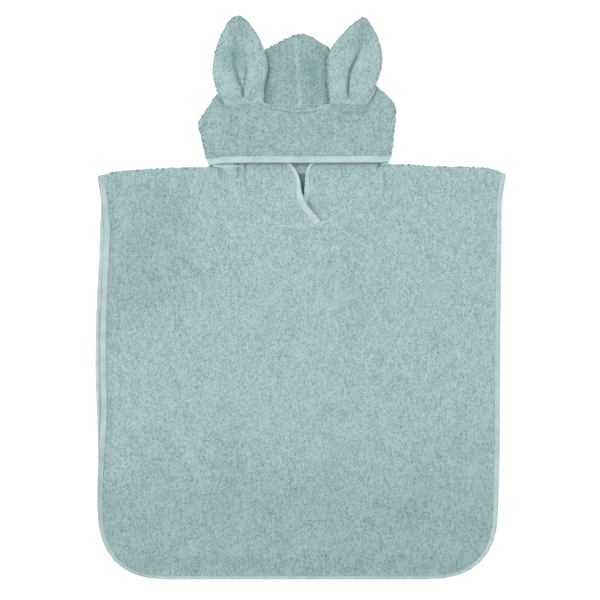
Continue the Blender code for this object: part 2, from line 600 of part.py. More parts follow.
def ear_layer(name, rows, underside, is_front):
    loops = []
    for section in sections_between(rows, EAR_STATIONS):
        width = (section.right - section.left).length
        rim = min(0.3, EAR_EDGE / width)
        if is_front:
            reach = min(0.12, PLEAT_REACH / width)
            between = (section.a + section.b) / 2
            shares = (0.0, rim, section.a * 0.55, section.a - reach, section.a, between, section.b,
                      section.b + reach, 0.45 + 0.55 * section.b, 1 - rim, 1.0)
        else:
            shares = (0.0, rim, 0.36, 0.64, 1 - rim, 1.0)
        top, bottom = [], []
        for k, u in enumerate(shares):
            x, y = section.left.lerp(section.right, u)
            at_edge = k in (0, len(shares) - 1)
            foot = underside(x, y)
            if is_front:
                foot += EAR_TERRY + GAP
                lift = stand_off(section, u, width)
                bottom.append((x, y, foot + 0.85 * lift))
                top.append((x, y, foot + (EAR_SEAM_EDGE if at_edge else EAR_TERRY + lift)))
            else:
                bottom.append((x, y, foot + (EAR_SEAM_EDGE if at_edge else 0.0)))
                top.append((x, y, foot + EAR_TERRY))
        loops.append(bottom + top[::-1])
    return loft(name, loops, TERRY_COLOUR)


def make_ears():
    left_chord = (HOOD_LEFT[12], HOOD_LEFT[9])
    right_chord = (HOOD_RIGHT[7], HOOD_RIGHT[4])
    for side, rows, chord in (("left", LEFT_EAR, left_chord), ("right", RIGHT_EAR, right_chord)):
        underside = droop(chord[::-1])
        ear_layer(f"ear_{side}_back", rows, underside, False)
        ear_layer(f"ear_{side}_front", rows, underside, True)


def clear_scene():
    for thing in list(bpy.data.objects):
        bpy.data.objects.remove(thing, do_unlink=True)


clear_scene()
make_body()
make_hood()
make_ears()
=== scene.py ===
import math

import bmesh
import bpy
from mathutils import Matrix, Vector, geometry, noise
from mathutils.bvhtree import BVHTree
from mathutils.kdtree import KDTree


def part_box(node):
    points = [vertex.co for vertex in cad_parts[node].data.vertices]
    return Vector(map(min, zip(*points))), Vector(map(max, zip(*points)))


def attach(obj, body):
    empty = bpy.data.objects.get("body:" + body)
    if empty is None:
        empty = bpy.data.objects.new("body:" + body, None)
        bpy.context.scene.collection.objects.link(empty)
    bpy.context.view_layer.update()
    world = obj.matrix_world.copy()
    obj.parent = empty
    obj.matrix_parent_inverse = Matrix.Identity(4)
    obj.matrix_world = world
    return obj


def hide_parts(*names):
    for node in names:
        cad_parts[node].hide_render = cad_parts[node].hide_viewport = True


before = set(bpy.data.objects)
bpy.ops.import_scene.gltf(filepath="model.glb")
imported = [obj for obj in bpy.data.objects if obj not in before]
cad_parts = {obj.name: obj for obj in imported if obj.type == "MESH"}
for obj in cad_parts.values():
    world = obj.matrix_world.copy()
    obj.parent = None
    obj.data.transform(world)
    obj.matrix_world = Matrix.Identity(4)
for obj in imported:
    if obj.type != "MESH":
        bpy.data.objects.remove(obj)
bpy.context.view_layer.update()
mm = 0.001
print("frame loaded:", len(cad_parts), "nodes")


# reading the solids that the cloth is laid on
solidReading = {
    "merge": 0.002 * mm,
    "turn": 0.02,  # a face steeper than this belongs to the wall's edge
    "rimStep": 0.4 * mm,
    "cornerReach": 3,  # mm to each side of a point when its corner is judged
    "cornerTurn": 35,  # degrees
    "rayStart": 0.2,  # metres from the surface
    "tangentReach": 3,  # points of the rim to each side
}


def mergedCopy(nodeName):
    solid = bmesh.new()
    solid.from_mesh(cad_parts[nodeName].data)
    bmesh.ops.remove_doubles(solid, verts=solid.verts, dist=solidReading["merge"])
    return solid


def longestRim(solid):
    # the closed line where a wall's upper side turns into its lower one
    turn = solidReading["turn"]
    left = {}
    for edge in solid.edges:
        if len(edge.link_faces) == 2:
            up = [face.normal.z > turn for face in edge.link_faces]
            if up[0] != up[1]:
                left[edge.index] = edge
    best, bestLength = [], 0
    while left:
        first = left.pop(min(left))
        chain, length = list(first.verts), first.calc_length()
        while True:
            onward = [e for e in chain[-1].link_edges if e.index in left]
            if not onward:
                break
            edge = left.pop(onward[0].index)
            length += edge.calc_length()
            chain.append(edge.other_vert(chain[-1]))
        if length > bestLength:
            best, bestLength = [v.co.copy() for v in chain], length
    return best


def evenly(line, step):
    out = [line[0].copy()]
    carried = 0
    for a, b in zip(line, line[1:]):
        length = (b - a).length
        at = step - carried
        while at <= length:
            out.append(a.lerp(b, at / length))
            at += step
        carried = length - (at - step)
    return out


def readSolid(nodeName):
    solid = mergedCopy(nodeName)
    solid.edges.index_update()
    rim = evenly(longestRim(solid), solidReading["rimStep"])
    tree = KDTree(len(rim))
    for i, p in enumerate(rim):
        tree.insert((p.x, p.y, 0), i)
    tree.balance()
    low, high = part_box(nodeName)
    cloth = {"tree": BVHTree.FromBMesh(solid), "rim": rim, "rimTree": tree, "low": low, "high": high}
    reach = round(solidReading["cornerReach"] * mm / solidReading["rimStep"])
    sharp = []
    for i, p in enumerate(rim):
        before = (p - rim[i - reach]).xy
        after = (rim[(i + reach) % len(rim)] - p).xy
        angle = math.degrees(before.angle(after, 0))
        if angle > solidReading["cornerTurn"]:
            sharp.append((angle, i))
    corners = []
    for angle, i in sorted(sharp, reverse=True):
        if all((rim[i] - rim[j]).length > 2 * solidReading["cornerReach"] * mm for j in corners):
            corners.append(i)
    cloth["corners"] = [rim[i] for i in corners]
    # twice the area that the rim encloses, above 0 where it runs to the left
    area = sum(a.x * b.y - b.x * a.y for a, b in zip(rim, rim[1:] + rim[:1]))
    cloth["outward"] = 1 if area > 0 else -1
    solid.free()
    return cloth


def heightAt(cloth, x, y, side=1):
    # the height of the upper (1) or lower (-1) side above a point of the plan
    start = Vector((x, y, solidReading["rayStart"] * side))
    hit = cloth["tree"].ray_cast(start, Vector((0, 0, -side)))[0]
    return None if hit is None else hit.z


def nearestRim(cloth, point):
    place, index, away = cloth["rimTree"].find((point.x, point.y, 0))
    return cloth["rim"][index], index, away


def outwardAt(cloth, index):
    # the direction in plan that points off the cloth at a point of its rim
    rim, reach = cloth["rim"], solidReading["tangentReach"]
    ahead = (rim[(index + reach) % len(rim)] - rim[index - reach]).xy.normalized()
    return Vector((ahead.y, -ahead.x)) * cloth["outward"]


solids = {name: readSolid(name) for name in sorted(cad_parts)}
print("solids read")


# A crease is a soft trough (rise below 0) or ridge along a few points, in mm. Its ends fade out, or it is a
# broad soft band that doesn't fade. A shade above 0 paints the colour darker: painted shade where the pile
# lies in a hollow, a fold or under an edge, and elsewhere just a darker region. One below 0 paints it
# lighter: painted light on ridges, seams and a lit sliver. Names that end in .inside are for the side of the
# cloth that shows in the slit.
creases = {
    "body_front": [
        # folds beside the neck, with painted shade in their troughs
        {"path": [(-90.8, 197), (-90.4, 184), (-91.2, 172)], "rise": -1.5, "width": 2.0, "shade": 0.50},
        {"path": [(-80.6, 197), (-80.2, 180), (-81.4, 162)], "rise": -1.3, "width": 1.9, "shade": 0.45},
        {"path": [(-117.8, 190), (-115.4, 173)], "rise": -1.2, "width": 1.9, "shade": 0.40},
        {"path": [(-104, 188), (-103, 170), (-106, 158)], "rise": 0.6, "width": 4},
        {"path": [(-70, 178), (-66, 160)], "rise": -0.6, "width": 3, "shade": 0.12},
        {"path": [(122.6, 186), (122.0, 168), (122.8, 148)], "rise": -1.1, "width": 2.0, "shade": 0.40},
        {"path": [(107.9, 192), (107.2, 176)], "rise": -0.8, "width": 1.8, "shade": 0.30},
        # painted light: a lit sliver along the tape's end
        {"path": [(-134, 191.5), (-124, 190.3), (-110, 190.5), (-84, 191.2)], "rise": 0.3, "width": 1.7,
         "shade": -1.0},
        {"path": [(81.8, 176), (81.2, 154)], "rise": -0.7, "width": 2.4, "shade": 0.18},
        {"path": [(131, 180), (133, 158)], "rise": 0.5, "width": 4},
        # long soft swells, with a little painted shade in some troughs
        {"path": [(-150, 150), (-170, 60), (-162, -40)], "rise": -0.6, "width": 15, "shade": 0.06},
        {"path": [(-40, 90), (-52, 10), (-44, -90)], "rise": 0.5, "width": 20},
        {"path": [(60, 70), (84, -20), (78, -130)], "rise": -0.5, "width": 18, "shade": 0.05},
        {"path": [(190, 150), (178, 40), (196, -70)], "rise": 0.5, "width": 20},
        {"path": [(-230, -60), (-216, -180), (-226, -290)], "rise": 0.45, "width": 18},
        {"path": [(-110, -150), (-96, -240), (-120, -340)], "rise": -0.55, "width": 17, "shade": 0.07},
        {"path": [(20, -190), (40, -270), (28, -360)], "rise": 0.4, "width": 19},
        {"path": [(150, -180), (170, -270), (158, -350)], "rise": -0.5, "width": 16, "shade": 0.06},
        {"path": [(235, -120), (244, -220), (236, -310)], "rise": -0.45, "width": 14},
        {"path": [(-270, -330), (270, -330)], "width": 95, "shade": 0.21, "fades": False},
        {"path": [(-215, 120), (-225, 20)], "width": 62, "shade": 0.21, "fades": False},
        {"path": [(-276, 170), (-281, 60), (-284, -60), (-283, -200)], "width": 9, "shade": 0.20,
         "fades": False},
        # painted shadow under the band's lower edge
        {"path": [(-118, 191), (-60, 178), (60, 178), (116, 191)], "width": 7, "shade": 0.10,
         "fades": False},
        # painted highlight along the ridge of the neckline seam
        {"path": [(-50, 114), (-27, 104.4), (-7, 103), (14, 104), (31, 109), (50, 118), (64, 128)],
         "rise": 0.7, "width": 2.3, "shade": -0.58},
        {"path": [(-275, -389), (275, -389)], "width": 16, "shade": 0.15, "fades": False},
    ],
    "body_back": [
        {"path": [(-190, 130), (-172, 30), (-186, -80)], "rise": 0.5, "width": 16},
        {"path": [(-60, 60), (-74, -60), (-62, -170)], "rise": 0.4, "width": 18},
        {"path": [(110, 120), (96, 10), (112, -120)], "rise": 0.5, "width": 17},
        {"path": [(200, -60), (214, -190), (204, -300)], "rise": 0.4, "width": 15},
    ],
    "body_back.inside": [
        # painted shadow on the inside of the back, deep in the slit
        {"path": [(2, 181), (2.5, 168), (2.8, 150)], "rise": -1.5, "width": 11, "shade": 0.95,
         "fades": False},
        {"path": [(2.7, 161), (2.9, 149)], "width": 8, "shade": 0.2, "fades": False},
    ],
    "hood_back": [
        {"path": [(-70, 330), (-60, 290), (-72, 240)], "rise": 0.5, "width": 12},
        {"path": [(50, 340), (62, 300), (52, 250)], "rise": 0.4, "width": 12},
    ],
    "hood_back.inside": [
        # painted shadow under the band and at the neckline seam, where the slit shows the inside of the hood
        {"path": [(-14, 197), (14, 197)], "width": 9, "shade": 0.55, "fades": False},
        {"path": [(-12, 178), (14, 178)], "rise": -0.5, "width": 4, "shade": 0.5, "fades": False},
    ],
    "ear_left_front": [
        # the pleats, with painted shade along their folds
        {"path": [(-96.5, 342), (-91.0, 318.5), (-85.4, 304), (-82.6, 289)], "rise": -2.2, "width": 1.3},
        {"path": [(-95.5, 336), (-91.0, 318.5), (-85.4, 304), (-82.8, 290)], "width": 0.9, "shade": 0.76},
        {"path": [(-76.4, 343), (-79.8, 321.4), (-82.1, 304), (-82.6, 289)], "rise": -1.9, "width": 1.2},
        {"path": [(-77.0, 337), (-79.8, 321.4), (-82.1, 304), (-82.6, 290)], "width": 0.8, "shade": 0.55},
        {"path": [(-84.4, 306), (-82.8, 288)], "width": 1.2, "shade": 0.75},
        {"path": [(-93.5, 380), (-96.4, 355), (-95.4, 332)], "rise": -1.0, "width": 3.4, "shade": 0.22},
        {"path": [(-105, 330), (-98, 308), (-95, 290)], "rise": 0.9, "width": 7},
        {"path": [(-112, 372), (-116, 345), (-110, 315)], "rise": 0.5, "width": 7},
        {"path": [(-64, 350), (-63, 325), (-68, 298)], "rise": 0.9, "width": 7},
        {"path": [(-84, 345), (-86, 325)], "rise": 0.5, "width": 4, "shade": 0.10},
        {"path": [(-90, 402), (-92, 372), (-99, 341)], "width": 17, "shade": 0.30, "fades": False},
        {"path": [(-113, 353), (-98, 351), (-84, 348)], "width": 11, "shade": 0.16, "fades": False},
    ],
    "ear_right_front": [
        # the pleat, with painted shade along its fold
        {"path": [(89, 366), (83.4, 352.7), (77, 339.8), (71, 323.7), (69, 304.3), (68.8, 282)],
         "rise": -2.0, "width": 1.2, "shade": 0.08},
        {"path": [(87, 361), (83, 352.7), (78.5, 345)], "width": 3.2, "shade": 0.32},
        {"path": [(82, 350), (76.5, 339.8), (72, 329), (69.9, 318)], "width": 1.6, "shade": 0.42},
        {"path": [(70.6, 336), (70.2, 322)], "width": 2.0, "shade": 0.35},
        {"path": [(70.3, 322), (69.3, 312), (69.0, 300), (69.0, 287)], "width": 0.8, "shade": 1.3},
        {"path": [(66, 338), (64, 322), (63.6, 300)], "rise": 1.0, "width": 4.5},
        {"path": [(82, 332), (78, 314), (79, 296)], "rise": 1.0, "width": 6},
        {"path": [(97, 350), (90, 322), (88, 300)], "rise": 0.5, "width": 7},
        {"path": [(55, 345), (53, 322), (58, 296)], "rise": 0.9, "width": 6},
        {"path": [(100, 388), (106, 360), (103, 335)], "rise": -0.6, "width": 6},
        {"path": [(88, 402), (88, 376)], "width": 15, "shade": 0.36, "fades": False},
        {"path": [(62, 352), (74, 366)], "width": 14, "shade": 0.14, "fades": False},
    ],
    "ear_left_back": [
        {"path": [(-92, 380), (-96, 350), (-90, 318)], "rise": 0.7, "width": 8},
    ],
    "ear_right_back": [
        {"path": [(86, 380), (80, 350), (76, 318)], "rise": 0.7, "width": 8},
    ],
    "hood_band": [
        # a soft trough below the right ear, with painted shade
        {"path": [(44.1, 279), (56, 269.5), (68, 266.2), (84, 266.5), (100, 271), (117.5, 275)],
         "rise": -0.7, "width": 2.4, "shade": 0.20},
        # painted highlight on the ridge along the crown seam, then painted shade in the groove below it
        {"path": [(-56, 281.5), (-33, 275.2), (-8.4, 271.7), (0, 271.4), (18, 273.4), (38, 279.6)],
         "rise": 0.5, "width": 1.8, "shade": -0.20, "fades": False},
        {"path": [(-54, 278), (-32, 271.5), (-8.4, 268), (18, 269.5), (30, 273)],
         "rise": -0.7, "width": 1.6, "shade": 0.32},
        {"path": [(-124, 293), (-112, 280), (-103, 270)], "rise": -0.7, "width": 4, "shade": 0.15},
        {"path": [(-112, 255), (-104, 235), (-108, 214)], "rise": -0.5, "width": 9, "shade": 0.06},
        {"path": [(-30, 250), (-24, 230), (-30, 212)], "rise": 0.4, "width": 12},
        {"path": [(10, 256), (40, 244), (20, 226)], "rise": -0.4, "width": 9, "shade": 0.08},
        {"path": [(62, 250), (70, 232), (64, 212)], "rise": -0.45, "width": 10, "shade": 0.05},
        {"path": [(112, 258), (104, 238), (110, 216)], "rise": 0.4, "width": 9},
        {"path": [(-138, 208), (-60, 206.5)], "width": 6, "shade": 0.10, "fades": False},
    ],
    "hood_crown_left": [
        # painted shadow on the crown beside the ear
        {"path": [(-50, 345), (-50, 318), (-50, 286)], "rise": -1.0, "width": 7, "shade": 0.38,
         "fades": False},
        {"path": [(-26, 350), (-22, 325), (-26, 300)], "rise": 0.5, "width": 7},
        {"path": [(-13, 345), (-12, 300)], "rise": -0.5, "width": 3.5, "shade": 0.10},
        # painted highlight on the raised centre seam
        {"path": [(-6.5, 377), (-3.4, 330), (-0.5, 280)], "rise": 0.8, "width": 3.0, "shade": -0.36,
         "fades": False},
    ],
    "hood_crown_right": [
        # painted shadow on the crown beside the ear
        {"path": [(41, 350), (38, 322), (42, 288)], "rise": -0.9, "width": 7, "shade": 0.30,
         "fades": False},
        {"path": [(16, 345), (22, 318), (15, 298)], "rise": -0.5, "width": 6, "shade": 0.16},
        {"path": [(10, 350), (16, 322)], "width": 9, "shade": 0.14},
        # painted highlight on the raised centre seam
        {"path": [(-6.5, 377), (-3.4, 330), (-0.5, 280)], "rise": 0.8, "width": 3.0, "shade": -0.36,
         "fades": False},
    ],
    "hood_front_left": [
        # folds with painted shade in their troughs
        {"path": [(-90.8, 200), (-90.4, 186), (-91.2, 172)], "rise": -1.5, "width": 2.0, "shade": 0.50},
        {"path": [(-80.6, 200), (-80.2, 180), (-81.4, 160)], "rise": -1.3, "width": 1.9, "shade": 0.45},
        {"path": [(-52, 190), (-46, 168), (-34, 146)], "rise": 0.5, "width": 8},
        {"path": [(-22, 160), (-12, 138), (6, 120)], "rise": 0.6, "width": 6},
        # painted highlight along the ridge of the neckline seam
        {"path": [(-50, 114), (-27, 104.4), (-7, 103), (14, 104), (31, 109)],
         "rise": 0.5, "width": 2.3, "shade": -0.55},
        # painted shadow under the band's lower edge
        {"path": [(-94, 194), (-4, 195)], "rise": -0.5, "width": 2.4, "shade": 0.30, "fades": False},
        {"path": [(-90, 192), (-8, 192)], "width": 9, "shade": 0.20, "fades": False},
        # painted light: a lit sliver along the tape's end
        {"path": [(-136, 191.5), (-124, 190.4), (-110, 190.6), (-84, 191.3)], "rise": 0.3, "width": 1.7,
         "shade": -1.0},
    ],
    "hood_front_right": [
        {"path": [(30, 186), (40, 168), (44, 150)], "rise": 0.4, "width": 8},
        {"path": [(66, 192), (62, 176), (66, 160)], "rise": -0.5, "width": 5, "shade": 0.08},
        # painted shadow beside the edge of the left tape, which lies over this front
        {"path": [(2.5, 158), (8.5, 143), (15.5, 131), (26, 119)], "rise": -1.2, "width": 2.6,
         "shade": 0.5},
        # painted shadow under the band's lower edge
        {"path": [(16, 194), (112, 195)], "rise": -0.5, "width": 2.4, "shade": 0.30, "fades": False},
        {"path": [(16, 192), (112, 192)], "width": 9, "shade": 0.14, "fades": False},
    ],
    "front_edge_binding": [
        {"path": [(-297, 190), (-297, -300)], "width": 40, "shade": 0.16, "fades": False},
        {"path": [(-296, -240), (-288, -335), (-236, -396)], "width": 20, "shade": 0.22, "fades": False},
        {"path": [(-292, 194), (-290, 168)], "width": 9, "shade": 0.22, "fades": False},
        {"path": [(297, 170), (297, -300)], "width": 40, "shade": 0.10, "fades": False},
        {"path": [(-240, -404), (240, -404)], "width": 40, "shade": 0.15, "fades": False},
        # a groove with a painted shadow line where the back tape peeks out beside this one
        {"path": [(-289.0, 150), (-286.6, 127), (-286.2, 98), (-288.0, 55), (-290.0, -3), (-291.4, -40)],
         "rise": -0.9, "width": 1.2, "shade": 0.62},
    ],
    "back_edge_binding": [
        # painted shadow line beside the front tape's outer edge
        {"path": [(-291.2, -20), (-291.2, -70), (-290.8, -134), (-290.4, -177), (-291.8, -206),
                  (-293.6, -236)],
         "width": 1.9, "shade": 0.60, "fades": False},
        {"path": [(-240, -404), (240, -404)], "width": 40, "shade": 0.30, "fades": False},
    ],
    "face_edge_binding_top": [
        {"path": [(-140, 203), (125, 203)], "width": 20, "shade": 0.04, "fades": False},
    ],
    "face_edge_binding_left": [
        # painted shadow under the band's edge
        {"path": [(-24, 196), (-9, 193.5)], "width": 3.0, "shade": 0.40, "fades": False},
        # painted highlight on a low ridge
        {"path": [(-4, 172), (-1, 152), (8, 132)], "rise": 0.3, "width": 3.0, "shade": -0.10},
    ],
    "face_edge_binding_right": [
        # painted shadow under the band's edge
        {"path": [(10, 194.5), (26, 196)], "width": 3.0, "shade": 0.40, "fades": False},
        {"path": [(10, 175), (9, 150)], "width": 5, "shade": 0.12, "fades": False},
        # painted shadow beside the left tape's edge
        {"path": [(2, 158), (9, 143)], "width": 3.0, "shade": 0.40, "fades": False},
    ],
}

# Where a piece is sewn down, it sinks to the height of its neighbour: the heights in mm of its upper
# and lower side at the path, and the reach over which they are lost again.
settles = {
    "ear_left_front": [{"path": [(-106.3, 280.1), (-54.2, 283.8)], "reach": 15, "top": 10.3, "under": 9.3}],
    "ear_right_front": [{"path": [(42.9, 283.5), (95.6, 281.6)], "reach": 15, "top": 10.3, "under": 9.3}],
    "hood_band": [
        {"path": [(-106.3, 279), (-54.2, 282.5)], "reach": 9, "top": 10.1},
        {"path": [(42.9, 282.5), (95.6, 280.5)], "reach": 9, "top": 10.1},
    ],
    "hood_front_left": [
        {"path": [(-134, 191), (-118, 190)], "reach": 8, "top": 8.6},
        {"path": [(-24, 108), (-8, 104), (8, 103), (18, 105), (27.5, 110.7)], "reach": 11, "top": 8.7,
         "under": 7.1},
    ],
    "body_front": [
        {"path": [(-24, 107), (-8, 103), (8, 102), (20, 104), (28, 109)], "reach": 15, "top": 8.4},
    ],
    "face_edge_binding_left": [{"path": [(19, 107.5), (29, 112.5)], "reach": 14, "top": 9.6, "under": 6.9}],
}

# where the outline swells a little past the solid's, in mm
leftEarSwell = [
    {"path": [(-78, 399), (-70, 389), (-63.5, 377)], "shift": (3.0, 2.0), "width": 12},
    {"path": [(-103, 403), (-101, 406)], "shift": (-1.6, -0.6), "width": 9},
]
warps = {"ear_left_front": leftEarSwell, "ear_left_back": leftEarSwell}

relief = {
    # width, length and rise in mm of the pile's small clumps and of two broader swells
    "tuft": (3.6, 5.4, 0.34),
    "patch": (15, 21, 0.30),
    "wave": (70, 120, 0.35),
    "apart": 17.3,  # keeps the three noises from repeating each other
    "fade": 3.0,  # mm from an edge over which the relief dies away
    "leftAtEdge": 0.25,  # the share of it that is left there
    "creaseAtEdge": 0.35,  # the share of a crease that is left there
    "creaseReach": 2.4,  # widths from its middle at which a crease ends
}


def alongPath(path, x, y):
    # how far a point is from the path, and how far along it, from 0 to 1
    total = sum(math.dist(a, b) for a, b in zip(path, path[1:]))
    best, at, run = 1e9, 0, 0
    for (ax, ay), (bx, by) in zip(path, path[1:]):
        dx, dy = bx - ax, by - ay
        length = math.hypot(dx, dy)
        t = min(1, max(0, ((x - ax) * dx + (y - ay) * dy) / length**2))
        away = math.hypot(x - ax - t * dx, y - ay - t * dy)
        if away < best:
            best, at = away, (run + t * length) / total
        run += length
    return best, at


def creaseAt(lines, x, y):
    # the rise in mm and the shade of the creases at a point
    rise, shade = 0, 0
    for line in lines:
        reach = line["width"] * relief["creaseReach"]
        xs = [p[0] for p in line["path"]]
        ys = [p[1] for p in line["path"]]
        if min(xs) - reach < x < max(xs) + reach and min(ys) - reach < y < max(ys) + reach:
            away, at = alongPath(line["path"], x, y)
            if away < reach:
                strength = math.exp(-((away / line["width"]) ** 2))
                if line.get("fades", True):
                    strength *= math.sin(math.pi * min(1, max(0, at))) ** 0.5
                rise += line.get("rise", 0) * strength
                shade += line.get("shade", 0) * strength
    return rise, shade


def settledAt(nodeName, x, y, z, side):
    # the height in mm after sinking to a neighbour, and how far it has sunk, from 0 to 1
    most = 0
    for settle in settles.get(nodeName, []):
        goal = settle.get("top" if side > 0 else "under")
        if goal is not None:
            near = max(0, 1 - alongPath(settle["path"], x, y)[0] / settle["reach"])
            near = near * near * (3 - 2 * near)
            z += (goal - z) * near
            most = max(most, near)
    return z, most


def reliefAt(x, y, z):
    rise = 0
    for i, key in enumerate(("tuft", "patch", "wave")):
        width, length, height = relief[key]
        rise += height * noise.noise(Vector((x / width, y / length, z / width + relief["apart"] * i)))
    return rise


# a cloth panel is laid on its solid as two nets, joined along the rim
panelRules = {
    "lip": 0.45,  # share of a cell that the rounded edge takes
    "easedRows": 3,  # rows of the net along the rim that are smoothed, and how often and how much
    "easedRounds": 5,
    "easing": 0.5,
    "probe": 1.8 * mm,  # how far inside the rim the wall's height is taken for its edge
    "sewnReach": 1.2 * mm,  # a neighbour this near makes it a sewn edge
    "sewnOver": 0.4 * mm,  # how far its pile reaches over the seam
    "sewnDrop": 0.10,  # how far a sewn edge turns down, as a share of the wall
    "freeDrop": 0.34,
    "sunkEase": 0.8,  # how much less it turns down where it has sunk to its neighbour
    "tapeReach": 1.6 * mm,  # no pile grows this near to a tape
}


def trimmedNet(bm, cloth, cell):
    # a net of square cells over the plan, cut to the rim and set on it
    low, high = cloth["low"], cloth["high"]
    middle, half = (low + high) / 2, (high - low) / 2
    place = Matrix.Translation((middle.x, middle.y, 0)) @ Matrix.Diagonal((half.x, half.y, 1, 1))
    made = bmesh.ops.create_grid(
        bm, x_segments=round(2 * half.x / cell), y_segments=round(2 * half.y / cell), size=1, matrix=place
    )
    verts = made["verts"]
    faces = sorted({f for v in verts for f in v.link_faces}, key=lambda f: f.index)
    outside = [f for f in faces if heightAt(cloth, *f.calc_center_median().xy) is None]
    bmesh.ops.delete(bm, geom=outside, context="FACES")
    while True:
        faces = [f for f in faces if f.is_valid]
        verts = [v for v in verts if v.is_valid]
        ragged = [f for f in faces if sum(e.is_boundary for e in f.edges) > 2]
        for v in verts:
            if sum(e.is_boundary for e in v.link_edges) > 2:
                ragged.append(v.link_faces[0])
        if not ragged:
            break
        bmesh.ops.delete(bm, geom=list(set(ragged)), context="FACES")
    border = [v for v in verts if v.is_boundary]
    near = set(border)
    for _ in range(panelRules["easedRows"]):
        near |= {e.other_vert(v) for v in near for e in v.link_edges}
    near = [v for v in verts if v in near]
    for _ in range(panelRules["easedRounds"]):
        for v in border:
            v.co.xy = nearestRim(cloth, v.co)[0].xy
        bmesh.ops.smooth_vert(bm, verts=near, factor=panelRules["easing"], use_axis_x=True, use_axis_y=True)
    for v in border:
        v.co.xy = nearestRim(cloth, v.co)[0].xy
    for corner in cloth["corners"]:
        min(border, key=lambda v: (v.co.xy - corner.xy).length).co.xy = corner.xy
    made = bmesh.ops.inset_region(
        bm, faces=faces, use_boundary=True, use_even_offset=False, thickness=panelRules["lip"] * cell
    )
    return faces + made["faces"]


def vertsOf(faces):
    return sorted({v for f in faces for v in f.verts}, key=lambda v: v.index)


def layNet(faces, nodeName, look, side, lines, shadeLayer, rimLayer):
    # gives the net its heights: the solid's own, with the creases and the pile's relief on them
    cloth = solids[nodeName]
    for v in vertsOf(faces):
        rimPoint, index, away = nearestRim(cloth, v.co)
        inset = v.co.xy
        outward, sewn = None, False
        if away < panelRules["probe"]:
            outward = outwardAt(cloth, index)
            inset = rimPoint.xy - outward * panelRules["probe"]
            beyond = rimPoint.xy + outward * look.get("reach", panelRules["sewnReach"])
            sewn = any(heightAt(solids[name], *beyond) is not None for name in look["sewnTo"])
            v[rimLayer] = 0 if sewn else 1 - away / panelRules["probe"]
        own = heightAt(cloth, *inset, side)
        if own is None:
            own = rimPoint.z
        drop = 0
        if v.is_boundary:
            other = heightAt(cloth, *inset, -side)
            wall = abs(own - (rimPoint.z if other is None else other))
            drop = wall * panelRules["sewnDrop" if sewn else "freeDrop"]
            if sewn:
                v.co.xy = rimPoint.xy + outward * look.get("over", panelRules["sewnOver"])
        elif outward is not None:
            own = heightAt(cloth, *v.co.xy, side) or own
        x, y = v.co.x / mm, v.co.y / mm
        z, sunk = settledAt(nodeName, x, y, own / mm, side)
        z = z * mm - side * drop * (1 - panelRules["sunkEase"] * sunk)
        if lines is not None:
            fade = max(min(1, away / mm / relief["fade"]), sunk)
            rise, shade = creaseAt(lines, x, y)
            rise *= min(1, relief["creaseAtEdge"] + fade)
            rise += reliefAt(x, y, z / mm) * (relief["leftAtEdge"] + (1 - relief["leftAtEdge"]) * fade)
            z += side * rise * mm
            v[shadeLayer] = look.get("shade", 0) + shade
        v.co.z = z


def covered(nodeName, point):
    # whether another piece lies on the cloth here, or the tape folds over its edge
    beside = panelRules["tapeReach"]
    around = ((0, 0), (beside, 0), (-beside, 0), (0, beside), (0, -beside))
    for name, cloth in solids.items():
        if name != nodeName:
            for dx, dy in around if "binding" in name else around[:1]:
                above = heightAt(cloth, point.x + dx, point.y + dy)
                if above is not None and above > point.z:
                    return True
    return False


def clothPanel(nodeName, look):
    cloth = solids[nodeName]
    bm = bmesh.new()
    shadeLayer = bm.verts.layers.float.new("shade")
    pileLayer = bm.verts.layers.float.new("pile")
    rimLayer = bm.verts.layers.float.new("rimPile")
    seen = look.get("seen", 1)
    lines = {seen: creases.get(nodeName, []), -seen: creases.get(nodeName + ".inside")}
    rims = []
    for side, cell in ((seen, look["cell"]), (-seen, look["backCell"])):
        faces = trimmedNet(bm, cloth, cell * mm)
        bm.verts.index_update()
        layNet(faces, nodeName, look, side, lines[side], shadeLayer, rimLayer)
        if side < 0:
            bmesh.ops.reverse_faces(bm, faces=faces)
        rims += list({e for f in faces for e in f.edges if e.is_boundary})
        for v in vertsOf(faces):
            hidden = covered(nodeName, v.co)
            v[pileLayer] = 1 if side > 0 and not hidden and not v.is_boundary else 0
            if hidden:
                v[rimLayer] = 0
    for warp in warps.get(nodeName, []):
        for v in bm.verts:
            away = alongPath(warp["path"], v.co.x / mm, v.co.y / mm)[0]
            v.co.xy += Vector(warp["shift"]) * (mm * math.exp(-((away / warp["width"]) ** 2)))
    if "floor" in look:
        for v in bm.verts:
            v.co.z = max(v.co.z, look["floor"])
    bmesh.ops.bridge_loops(bm, edges=sorted(rims, key=lambda e: e.index))
    bmesh.ops.recalc_face_normals(bm, faces=bm.faces)
    for f in bm.faces:
        f.smooth = True
    return finishedPiece(nodeName + "_terry", bm, look["material"], nodeName)


def finishedPiece(name, bm, material, nodeName=None):
    mesh = bpy.data.meshes.new(name)
    bm.to_mesh(mesh)
    bm.free()
    mesh.materials.append(material)
    piece = bpy.data.objects.new(name, mesh)
    bpy.context.scene.collection.objects.link(piece)
    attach(piece, "root")
    if nodeName:
        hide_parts(nodeName)
    print(name, "faces:", len(mesh.polygons))
    return piece


def newMaterial(name):
    material = bpy.data.materials.new(name)
    material.use_nodes = True
    tree = material.node_tree
    tree.nodes.clear()
    shader = tree.nodes.new("ShaderNodeBsdfPrincipled")
    output = tree.nodes.new("ShaderNodeOutputMaterial")
    tree.links.new(shader.outputs["BSDF"], output.inputs["Surface"])
    return material, tree, shader


